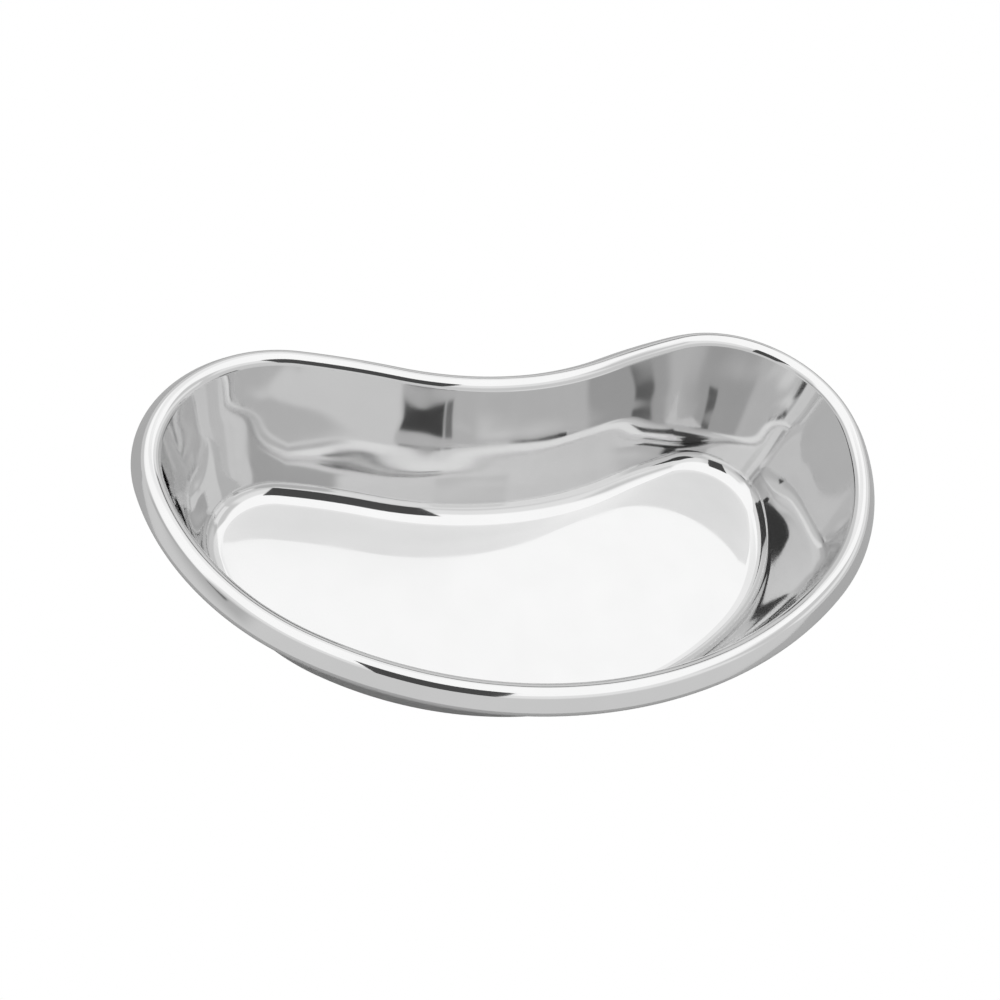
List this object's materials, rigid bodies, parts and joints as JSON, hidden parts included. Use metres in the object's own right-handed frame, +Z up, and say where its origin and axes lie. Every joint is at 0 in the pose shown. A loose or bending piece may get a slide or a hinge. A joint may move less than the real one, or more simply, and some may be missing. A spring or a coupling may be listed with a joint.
{
  "type": "kidney dish",
  "caption": "Kidney-shaped stainless steel dish: flat floor, flared wall, and a crest, sloping skirt and curl round its edge.",
  "frame": {"origin": "on the resting plane, midway along the length and the breadth over the rim", "axes": "+Z up out of the bowl, X along the length, +Y towards the dent, -Y towards the bulging front"},
  "size_m": [0.25, 0.1438, 0.051],
  "materials": {
    "polished_steel": "mirror-polished stainless steel with faint polishing marks",
    "wire_steel": "drawn stainless steel wire"
  },
  "bodies": {
    "root": {"drawn_bowl": "polished_steel", "rim_wire": "wire_steel"}
  },
  "joints": []
}
